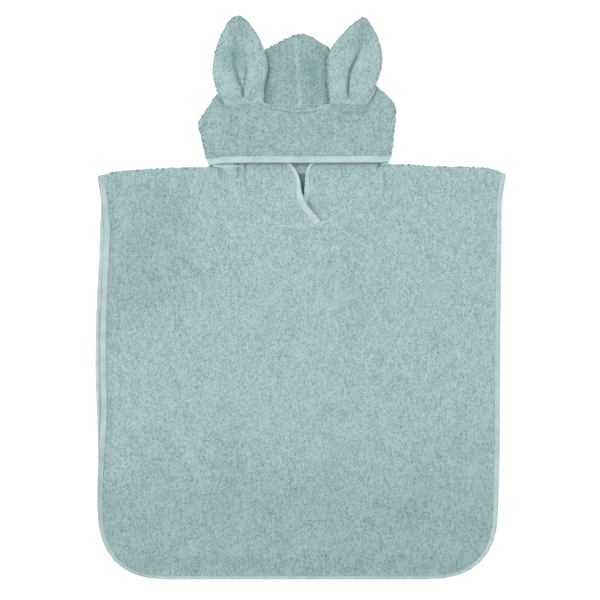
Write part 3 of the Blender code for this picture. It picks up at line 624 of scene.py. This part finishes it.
def stretchedNoise(tree, coordinates, width, stretch):
    # cloudy noise with features of that width in mm, longer along the cloth by stretch
    mapping = tree.nodes.new("ShaderNodeMapping")
    mapping.inputs["Scale"].default_value = (1, 1 / stretch, 1)
    tree.links.new(coordinates, mapping.inputs["Vector"])
    texture = tree.nodes.new("ShaderNodeTexNoise")
    texture.inputs["Scale"].default_value = 1 / (width * mm)
    tree.links.new(mapping.outputs["Vector"], texture.inputs["Vector"])
    return texture.outputs["Fac"]


def weighted(tree, values, weights):
    # the sum of the named values times their weights
    total = None
    for key, weight in weights.items():
        node = tree.nodes.new("ShaderNodeMath")
        node.operation = "MULTIPLY_ADD"
        node.inputs[1].default_value = weight
        node.inputs[2].default_value = 0
        tree.links.new(values[key], node.inputs[0])
        if total is not None:
            tree.links.new(total, node.inputs[2])
        total = node.outputs[0]
    return total


def colourSteps(tree, value, steps, tone):
    ramp = tree.nodes.new("ShaderNodeValToRGB")
    while len(ramp.color_ramp.elements) < len(steps):
        ramp.color_ramp.elements.new(0.5)
    for element, (position, colour) in zip(ramp.color_ramp.elements, steps):
        element.position = position
        element.color = (*[c * tone for c in colour], 1)
    tree.links.new(value, ramp.inputs["Fac"])
    return ramp.outputs["Color"]


def shadedColour(tree, colour, look):
    # the mesh's shade, which holds painted shade and painted light with the pile's random tones, darkens the
    # colour where it is above 0 and lightens it below
    shade = tree.nodes.new("ShaderNodeAttribute")
    shade.attribute_name = "shade"
    for blend, strength, tint in (("MULTIPLY", look["darkening"], look["shadow"]), ("MIX", -1, look["lit"])):
        amount = tree.nodes.new("ShaderNodeMath")
        amount.operation = "MULTIPLY"
        amount.use_clamp = True
        amount.inputs[1].default_value = strength
        tree.links.new(shade.outputs["Fac"], amount.inputs[0])
        mix = tree.nodes.new("ShaderNodeMix")
        mix.data_type = "RGBA"
        mix.blend_type = blend
        tree.links.new(amount.outputs[0], mix.inputs["Factor"])
        tree.links.new(colour, mix.inputs["A"])
        mix.inputs["B"].default_value = (*tint, 1)
        colour = mix.outputs["Result"]
    return colour


def clothMaterial(name, look, tone, texture):
    # a matt cloth with its noises mixed into one colour, and into one height with its own texture
    material, tree, shader = newMaterial(name)
    coordinates = tree.nodes.new("ShaderNodeTexCoord").outputs["Object"]
    values = {key: stretchedNoise(tree, coordinates, *size) for key, size in look["noises"].items()}
    values.update(texture(tree, coordinates))
    mixed = weighted(tree, values, look["colourWeights"])
    colour = colourSteps(tree, mixed, look["colours"], tone)
    tree.links.new(shadedColour(tree, colour, look), shader.inputs["Base Color"])
    bump = tree.nodes.new("ShaderNodeBump")
    bump.inputs["Strength"].default_value = look["bump"]
    bump.inputs["Distance"].default_value = look["bumpHeight"]
    tree.links.new(weighted(tree, values, look["heightWeights"]), bump.inputs["Height"])
    tree.links.new(bump.outputs["Normal"], shader.inputs["Normal"])
    shader.inputs["Roughness"].default_value = look["roughness"]
    shader.inputs["Sheen Weight"].default_value = look["sheen"]
    shader.inputs["Specular IOR Level"].default_value = look["specular"]
    return material


terryLook = {
    "colours": (
        (0.370, (0.238, 0.345, 0.359)),
        (0.438, (0.304, 0.425, 0.438)),
        (0.500, (0.377, 0.512, 0.521)),
        (0.585, (0.461, 0.600, 0.605)),
    ),
    "shadow": (0.138, 0.298, 0.308),
    "darkening": 0.83,  # the share of the shadow's colour at a shade of 1
    "lit": (0.56, 0.70, 0.71),
    # width in mm and stretch; the specks are the pile's clumps
    "noises": {"speck": (2.5, 1.5), "grain": (0.9, 1.6), "streak": (2.3, 7), "patch": (16, 1.4)},
    "colourWeights": {"speck": 0.36, "grain": 0.36, "streak": 0.15, "patch": 0.13},
    "heightWeights": {"speck": 1.6, "streak": 0.5, "loop": -0.7},
    "loop": 1.5,  # mm across one loop of the pile
    "bump": 0.65,
    "bumpHeight": 1.2 * mm,
    "roughness": 0.96,
    "sheen": 0.12,
    "specular": 0.15,
}
tapeLook = {
    "colours": ((0.38, (0.440, 0.556, 0.567)), (0.62, (0.538, 0.657, 0.662))),
    "shadow": (0.205, 0.350, 0.386),
    "darkening": 0.83,
    "lit": (0.538, 0.657, 0.662),
    "noises": {"cloud": (15, 1), "fine": (1.6, 1)},
    "colourWeights": {"cloud": 0.6, "fine": 0.4},
    "heightWeights": {"warp": 0.5, "weft": 0.5},
    "thread": 0.45,  # mm across one thread of the weave
    "turned": {"warp": 45, "weft": 135},  # degrees, because the tape is cut on the bias
    "wave": 0.314,  # metres from crest to crest in a wave texture of scale 1
    "bump": 0.35,
    "bumpHeight": 0.15 * mm,
    "roughness": 0.8,
    "sheen": 0.08,
    "specular": 0.2,
}


def loopTexture(tree, coordinates):
    cells = tree.nodes.new("ShaderNodeTexVoronoi")
    cells.inputs["Scale"].default_value = 1 / (terryLook["loop"] * mm)
    tree.links.new(coordinates, cells.inputs["Vector"])
    return {"loop": cells.outputs["Distance"]}


def threadTexture(tree, coordinates):
    threads = {}
    for key, angle in tapeLook["turned"].items():
        mapping = tree.nodes.new("ShaderNodeMapping")
        mapping.inputs["Rotation"].default_value = (0, 0, math.radians(angle))
        tree.links.new(coordinates, mapping.inputs["Vector"])
        wave = tree.nodes.new("ShaderNodeTexWave")
        wave.inputs["Scale"].default_value = tapeLook["wave"] / (tapeLook["thread"] * mm)
        tree.links.new(mapping.outputs["Vector"], wave.inputs["Vector"])
        threads[key] = wave.outputs["Fac"]
    return threads


terry = clothMaterial("terry", terryLook, 1.009, loopTexture)
earTerry = clothMaterial("earTerry", terryLook, 1.022, loopTexture)
tape = clothMaterial("biasTape", tapeLook, 1, threadTexture)


# For each panel: the cells in mm of its net on the side that is seen and on the other one, its own shade,
# what it is sewn to and how far it reaches over that, its cut in metres, and what it lies on.
panels = {
    "body_front": {
        "cell": 2.05, "backCell": 9, "sewnTo": ("hood_front_left", "hood_front_right", "hood_band"),
        "reach": 2.2 * mm, "over": 0.9 * mm,
        "flat": (0.586, 0.598), "area": 0.328, "restsOn": ["body_back_terry"],
    },
    "body_back": {
        "slot": "terry_back", "cell": 3.2, "backCell": 4.4, "seen": -1, "sewnTo": ("hood_back",), "floor": 0,
        "flat": (0.588, 0.600), "area": 0.340, "restsOn": ["floor"],
    },
    "hood_back": {
        "slot": "terry_back", "cell": 2.4, "backCell": 2.8, "seen": -1, "sewnTo": ("body_back",), "floor": 0,
        "flat": (0.287, 0.202), "area": 0.0425, "restsOn": ["floor"],
    },
    "hood_crown_left": {
        "cell": 1.7, "backCell": 5, "shade": 0.27, "sewnTo": ("hood_crown_right", "hood_band"),
        "flat": (0.119, 0.109), "area": 0.0079, "restsOn": ["hood_back_terry"],
    },
    "hood_crown_right": {
        "cell": 1.7, "backCell": 5, "shade": 0.31, "sewnTo": ("hood_crown_left", "hood_band"),
        "flat": (0.113, 0.109), "area": 0.0079, "restsOn": ["hood_back_terry"],
    },
    "hood_band": {
        "cell": 1.7, "backCell": 5, "shade": 0.17, "sewnTo": ("hood_crown_left", "hood_crown_right"),
        "flat": (0.287, 0.115), "area": 0.0236,
        "restsOn": ["hood_back_terry", "hood_front_left_terry", "hood_front_right_terry"],
    },
    "hood_front_left": {
        "cell": 1.7, "backCell": 4, "sewnTo": ("body_front",), "reach": 2.2 * mm, "over": 0.9 * mm,
        "flat": (0.158, 0.099), "area": 0.0081, "restsOn": ["body_back_terry", "hood_front_right_terry"],
    },
    "hood_front_right": {
        "cell": 1.7, "backCell": 4, "sewnTo": ("body_front",), "reach": 2.2 * mm, "over": 0.9 * mm,
        "flat": (0.113, 0.100), "area": 0.0072, "restsOn": ["body_back_terry"],
    },
}
for hand, reach, over in (("left", 3.4, 1.9), ("right", 4.8, 3.2)):
    ear = {
        "slot": "terry_ears", "backCell": 4, "flat": (0.081, 0.129), "area": 0.0077,
        "restsOn": [f"hood_crown_{hand}_terry", "hood_back_terry"],
    }
    front = {"cell": 1.0, "sewnTo": ("hood_band",), "reach": reach * mm, "over": over * mm}
    panels[f"ear_{hand}_front"] = {**ear, **front}
    panels[f"ear_{hand}_back"] = {**ear, "cell": 2.0, "seen": -1, "sewnTo": ()}

pieces = {}
for nodeName, look in panels.items():
    look["material"] = earTerry if nodeName.startswith("ear_") else terry
    look.setdefault("slot", "terry")
    pieces[nodeName] = clothPanel(nodeName, look)
print("panels and ears laid")


tapeRules = {
    # free edges, and the share of its width that the tape shows at heights along the garment
    "squeeze": {
        "face_edge_binding_left": {
            "edge": [(-30, 204.7), (-17, 198.3), (-8.8, 188.3), (-3.7, 180), (-0.2, 169.7), (2, 154.9),
                     (6.6, 141.9), (12.6, 131.5), (21.7, 120.7)],
            "shares": [(142, 1.0), (150, 0.83), (166, 0.60), (179, 0.50), (200, 0.46)],
        },
        "face_edge_binding_right": {
            "edge": [(29, 204.7), (16.2, 199.3), (9.2, 188.9), (7.1, 182.5), (6.1, 174.9), (4.6, 154.9),
                     (0, 124.9)],
            "shares": [(140, 0.72), (150, 0.80), (162, 0.76), (179, 0.54), (200, 0.46)],
        },
        "front_edge_binding": {"edge": "body_front", "shares": [(-402, 0.62), (-385, 0.72), (-300, 1.0)]},
    },
    "longest": 5.0,  # mm between rows of points along the tape
    # further rows where a fold runs along the tape: the first, the step in mm and how many
    "extraCuts": {"front_edge_binding": (-292.6, 0.9, 9), "back_edge_binding": (-296.0, 1.0, 8)},
    "pucker": (11, 0.09),  # length and rise of its small puckers, mm
    "puckerSlice": 5.5,  # where the noise for them is taken
    "upward": 0.5,  # a normal steeper than this is on the tape's upper side
    "hardTurn": 50,  # degrees between faces that stay a crisp fold
}


def nearestOn(edge, x, y):
    # the nearest point of an open line
    spots = []
    for a, b in zip(edge, edge[1:]):
        spot, t = geometry.intersect_point_line((x, y), a, b)
        spots.append(a if t < 0 else b if t > 1 else tuple(spot.xy))
    return min(spots, key=lambda q: math.dist(q, (x, y)))


def squeezed(nodeName, place):
    # the tape rolls over its edge at the slit and the hem, so that less of its width shows
    rule = tapeRules["squeeze"].get(nodeName)
    if rule is None:
        return place
    x, y = place.x / mm, place.y / mm
    edge, shares = rule["edge"], rule["shares"]
    if isinstance(edge, str):
        spot = tuple(nearestRim(solids[edge], place)[0].xy / mm)
    else:
        spot = nearestOn(edge, x, y)
    share = shares[0][1] if y < shares[0][0] else shares[-1][1]
    for (y0, s0), (y1, s1) in zip(shares, shares[1:]):
        if y0 <= y <= y1:
            share = s0 + (s1 - s0) * (y - y0) / (y1 - y0)
    return Vector(((spot[0] + (x - spot[0]) * share) * mm, (spot[1] + (y - spot[1]) * share) * mm, place.z))


def cutAcross(bm, place, normal):
    everything = bm.verts[:] + bm.edges[:] + bm.faces[:]
    bmesh.ops.bisect_plane(bm, geom=everything, plane_co=place, plane_no=normal)


def tapeStrip(nodeName):
    bm = mergedCopy(nodeName)
    low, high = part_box(nodeName)
    step = tapeRules["longest"] * mm
    for axis in range(2):
        normal = Vector((1 - axis, axis, 0))
        for i in range(1, int((high - low)[axis] / step)):
            cutAcross(bm, low + normal * (i * step), normal)
    first, apart, count = tapeRules["extraCuts"].get(nodeName, (0, 0, 0))
    for i in range(count):
        cutAcross(bm, ((first + apart * i) * mm, 0, 0), (1, 0, 0))
    bm.normal_update()
    length, pucker = tapeRules["pucker"]
    shadeLayer = bm.verts.layers.float.new("shade")
    for v in bm.verts:
        p = v.co / mm
        v.co = squeezed(nodeName, v.co)
        v.co.z = settledAt(nodeName, p.x, p.y, p.z, 1 if v.normal.z > 0 else -1)[0] * mm
        rise, v[shadeLayer] = creaseAt(creases.get(nodeName, []), p.x, p.y)
        if v.normal.z > tapeRules["upward"]:
            spot = Vector((p.x / length, p.y / length, tapeRules["puckerSlice"]))
            v.co.z += (rise + pucker * noise.noise(spot)) * mm
    for f in bm.faces:
        f.smooth = True
    for e in bm.edges:
        e.smooth = e.calc_face_angle(0) < math.radians(tapeRules["hardTurn"])
    return finishedPiece(nodeName + "_tape", bm, tape, nodeName)


for nodeName in sorted(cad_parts):
    if "binding" in nodeName:
        pieces[nodeName] = tapeStrip(nodeName)
print("tapes folded on")


pile = {
    # spacing and size in mm, the share of places filled, and a clump's rise as a share of its width
    "layers": {
        "pile": {"spacing": 3.0, "most": 0.62, "size": (1.6, 2.6), "rise": 0.70, "seed": 3},
        "rimPile": {"spacing": 2.0, "most": 0.9, "rise": 1.0, "seed": 8},
    },
    # how much lighter or darker than the cloth the clumps are, and the rim's sizes in mm
    "kinds": {
        "body": {"tones": (-0.76, 0.54), "rimSize": (2.0, 5.2)},
        "hood": {"tones": (-0.74, 0.62), "rimSize": (2.0, 5.2)},
        "ear_": {"tones": (-0.62, 0.50), "rimSize": (1.5, 3.6)},
    },
    "toneSeed": 21,
    "lean": 0.5,  # radians
    "segments": 5,
    "rings": 2,
}


def pileGroup(kind):
    # scatters small clumps of loops over a panel
    group = bpy.data.node_groups.new(kind + "Pile", "GeometryNodeTree")
    group.interface.new_socket("Geometry", in_out="INPUT", socket_type="NodeSocketGeometry")
    group.interface.new_socket("Geometry", in_out="OUTPUT", socket_type="NodeSocketGeometry")
    start, end = group.nodes.new("NodeGroupInput"), group.nodes.new("NodeGroupOutput")
    join = group.nodes.new("GeometryNodeJoinGeometry")

    def node(nodeType, **inputs):
        made = group.nodes.new(nodeType)
        for label, value in inputs.items():
            socket = made.inputs[label]
            if hasattr(value, "is_linked"):
                group.links.new(value, socket)
            else:
                socket.default_value = value
        return made

    def randomBetween(low, high, seed):
        made = node("FunctionNodeRandomValue", Seed=seed)
        if isinstance(low, tuple):
            made.data_type = "FLOAT_VECTOR"
        made.inputs["Min"].default_value, made.inputs["Max"].default_value = low, high
        return made.outputs["Value"]

    for layer, look in pile["layers"].items():
        spacing = look["spacing"] * mm
        small, large = look.get("size", pile["kinds"][kind]["rimSize"])
        amount = node("GeometryNodeInputNamedAttribute", Name=layer)
        scatter = node("GeometryNodeDistributePointsOnFaces", Mesh=start.outputs[0], Seed=look["seed"])
        scatter.distribute_method = "POISSON"
        scatter.inputs["Distance Min"].default_value = spacing
        scatter.inputs["Density Max"].default_value = look["most"] * 2 / spacing**2
        group.links.new(amount.outputs["Attribute"], scatter.inputs["Density Factor"])
        clump = node(
            "GeometryNodeMeshUVSphere", Segments=pile["segments"], Rings=pile["rings"], Radius=0.5
        )
        flat = node("GeometryNodeTransform", Geometry=clump.outputs["Mesh"], Scale=(1, 1, look["rise"]))
        smooth = node("GeometryNodeSetShadeSmooth", Geometry=flat.outputs["Geometry"])
        turn = node("FunctionNodeRotateRotation", Rotation=scatter.outputs["Rotation"])
        turn.rotation_space = "LOCAL"
        least, most = (-pile["lean"], -pile["lean"], 0), (pile["lean"], pile["lean"], math.tau)
        group.links.new(randomBetween(least, most, look["seed"] + 1), turn.inputs["Rotate By"])
        placed = node("GeometryNodeInstanceOnPoints", Points=scatter.outputs["Points"])
        group.links.new(smooth.outputs["Geometry"], placed.inputs["Instance"])
        group.links.new(turn.outputs["Rotation"], placed.inputs["Rotation"])
        group.links.new(randomBetween(small * mm, large * mm, look["seed"] + 2), placed.inputs["Scale"])
        group.links.new(placed.outputs["Instances"], join.inputs["Geometry"])
    own = node("GeometryNodeInputNamedAttribute", Name="shade")
    summed = node("ShaderNodeMath")
    group.links.new(own.outputs["Attribute"], summed.inputs[0])
    group.links.new(randomBetween(*pile["kinds"][kind]["tones"], pile["toneSeed"]), summed.inputs[1])
    store = node("GeometryNodeStoreNamedAttribute", Name="shade")
    store.domain = "INSTANCE"
    group.links.new(join.outputs["Geometry"], store.inputs["Geometry"])
    group.links.new(summed.outputs[0], store.inputs["Value"])
    real = node("GeometryNodeRealizeInstances", Geometry=store.outputs["Geometry"])
    group.links.new(real.outputs["Geometry"], end.inputs[0])
    return group


def pileOn(nodeName, group):
    panel = pieces[nodeName]
    grower = bpy.data.objects.new(nodeName + "_pile", panel.data.copy())
    bpy.context.scene.collection.objects.link(grower)
    grower.modifiers.new("pile", "NODES").node_group = group
    depsgraph = bpy.context.evaluated_depsgraph_get()
    grown = bpy.data.meshes.new_from_object(grower.evaluated_get(depsgraph))
    grower.modifiers.clear()
    grower.data = grown
    grown.materials.clear()
    grown.materials.append(panel.data.materials[0])
    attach(grower, "root")
    print(grower.name, "faces:", len(grown.polygons))
    return grower


pileGroups = {kind: pileGroup(kind) for kind in pile["kinds"]}
piles = {nodeName: pileOn(nodeName, pileGroups[nodeName[:4]]) for nodeName in panels}
print("pile grown")


stitches = {
    "every": 3.2,  # mm
    "size": (1.25, 0.32, 0.26),  # half length, half width and half height of a stitch, mm
    "facets": (6, 4),
    "shade": 0.12,
}
# the tape on each panel, and how far from the panel's rim its stitches run, in mm
tapesOn = {
    "body_front": ("front_edge_binding", 7.0),
    "body_back": ("back_edge_binding", 7.0),
    "hood_band": ("face_edge_binding_top", 7.0),
    "hood_front_left": ("face_edge_binding_left", 6.8),
    "hood_front_right": ("face_edge_binding_right", 6.8),
}


def stitchLine(clothName, tapeName, inset):
    # one row of stitches along the tape's inner edge
    cloth, band = solids[clothName], solids[tapeName]
    side = panels[clothName].get("seen", 1)
    step = round(stitches["every"] * mm / solidReading["rimStep"])
    size = Matrix.Diagonal((*[n * mm for n in stitches["size"]], 1))
    aroundIt, alongIt = stitches["facets"]
    bm = bmesh.new()
    for i in range(0, len(cloth["rim"]) - step, step):
        onRim = cloth["rim"][i]
        if heightAt(band, onRim.x, onRim.y) is None:
            continue
        outward = outwardAt(cloth, i)
        within = onRim.xy - outward * (inset * mm)
        height = heightAt(band, *within, side)
        if height is None:
            continue
        spot = squeezed(tapeName, Vector((*within, 0)))
        z = settledAt(tapeName, spot.x / mm, spot.y / mm, height / mm, side)[0] * mm
        turn = Matrix.Rotation(math.atan2(outward.x, -outward.y), 4, "Z")
        place = Matrix.Translation((*spot.xy, z)) @ turn @ size
        bmesh.ops.create_uvsphere(bm, u_segments=aroundIt, v_segments=alongIt, radius=1, matrix=place)
    for f in bm.faces:
        f.smooth = True
    shadeLayer = bm.verts.layers.float.new("shade")
    for v in bm.verts:
        shade = creaseAt(creases.get(tapeName, []), v.co.x / mm, v.co.y / mm)[1]
        v[shadeLayer] = stitches["shade"] + shade
    return finishedPiece(tapeName + "_stitches", bm, tape)


stitched = {name: stitchLine(name, *tapesOn[name]) for name in tapesOn}
for nodeName, look in panels.items():
    sewn = [piles[nodeName]]
    if nodeName in tapesOn:
        sewn += [pieces[tapesOn[nodeName][0]], stitched[nodeName]]
print("tapes sewn on")


studio = {
    "floorSize": 8,
    "floorDrop": 0.3 * mm,
    "floorTone": 0.93,
    "floorGlow": 0.34,
    "worldStrength": 0.80,
    "lampSize": 2.4,
    "lampPlace": (-0.9, 1.1, 2.6),
    "lampPower": 36,
    "viewSize": 0.870,  # metres across the picture at the cloth
    "viewCentre": (-0.0009, -0.0034, 0.006),
    "cameraHeight": 4.0,
    "sensor": 36,  # mm
    "clip": (0.1, 50),
}


def makeFloor():
    bm = bmesh.new()
    bmesh.ops.create_grid(bm, x_segments=1, y_segments=1, size=studio["floorSize"] / 2)
    for v in bm.verts:
        v.co.z = -studio["floorDrop"]
    mesh = bpy.data.meshes.new("floor")
    bm.to_mesh(mesh)
    bm.free()
    floor = bpy.data.objects.new("floor", mesh)
    bpy.context.scene.collection.objects.link(floor)
    material, _, shader = newMaterial("paleFloor")
    tone = studio["floorTone"]
    shader.inputs["Base Color"].default_value = (tone, tone, tone, 1)
    shader.inputs["Roughness"].default_value = 1
    shader.inputs["Specular IOR Level"].default_value = 0
    shader.inputs["Emission Color"].default_value = (1, 1, 1, 1)
    shader.inputs["Emission Strength"].default_value = studio["floorGlow"]
    mesh.materials.append(material)


def makeLight():
    world = bpy.data.worlds.new("softWorld")
    world.use_nodes = True
    world.node_tree.nodes["Background"].inputs["Color"].default_value = (1, 1, 1, 1)
    world.node_tree.nodes["Background"].inputs["Strength"].default_value = studio["worldStrength"]
    bpy.context.scene.world = world
    data = bpy.data.lights.new("softLamp", "AREA")
    data.shape = "SQUARE"
    data.size = studio["lampSize"]
    data.energy = studio["lampPower"]
    lamp = bpy.data.objects.new("softLamp", data)
    bpy.context.scene.collection.objects.link(lamp)
    lamp.location = studio["lampPlace"]
    lamp.rotation_mode = "QUATERNION"
    lamp.rotation_quaternion = (-lamp.location).to_track_quat("-Z", "Y")


def makeCamera():
    data = bpy.data.cameras.new("overhead")
    camera = bpy.data.objects.new("overhead", data)
    bpy.context.scene.collection.objects.link(camera)
    x, y, z = studio["viewCentre"]
    camera.location = (x, y, z + studio["cameraHeight"])
    data.sensor_width = studio["sensor"]
    data.lens = data.sensor_width * studio["cameraHeight"] / studio["viewSize"]
    data.clip_start, data.clip_end = studio["clip"]
    bpy.context.scene.camera = camera
    bpy.context.scene.view_settings.view_transform = "Standard"


makeFloor()
makeLight()
makeCamera()
print("stage set")
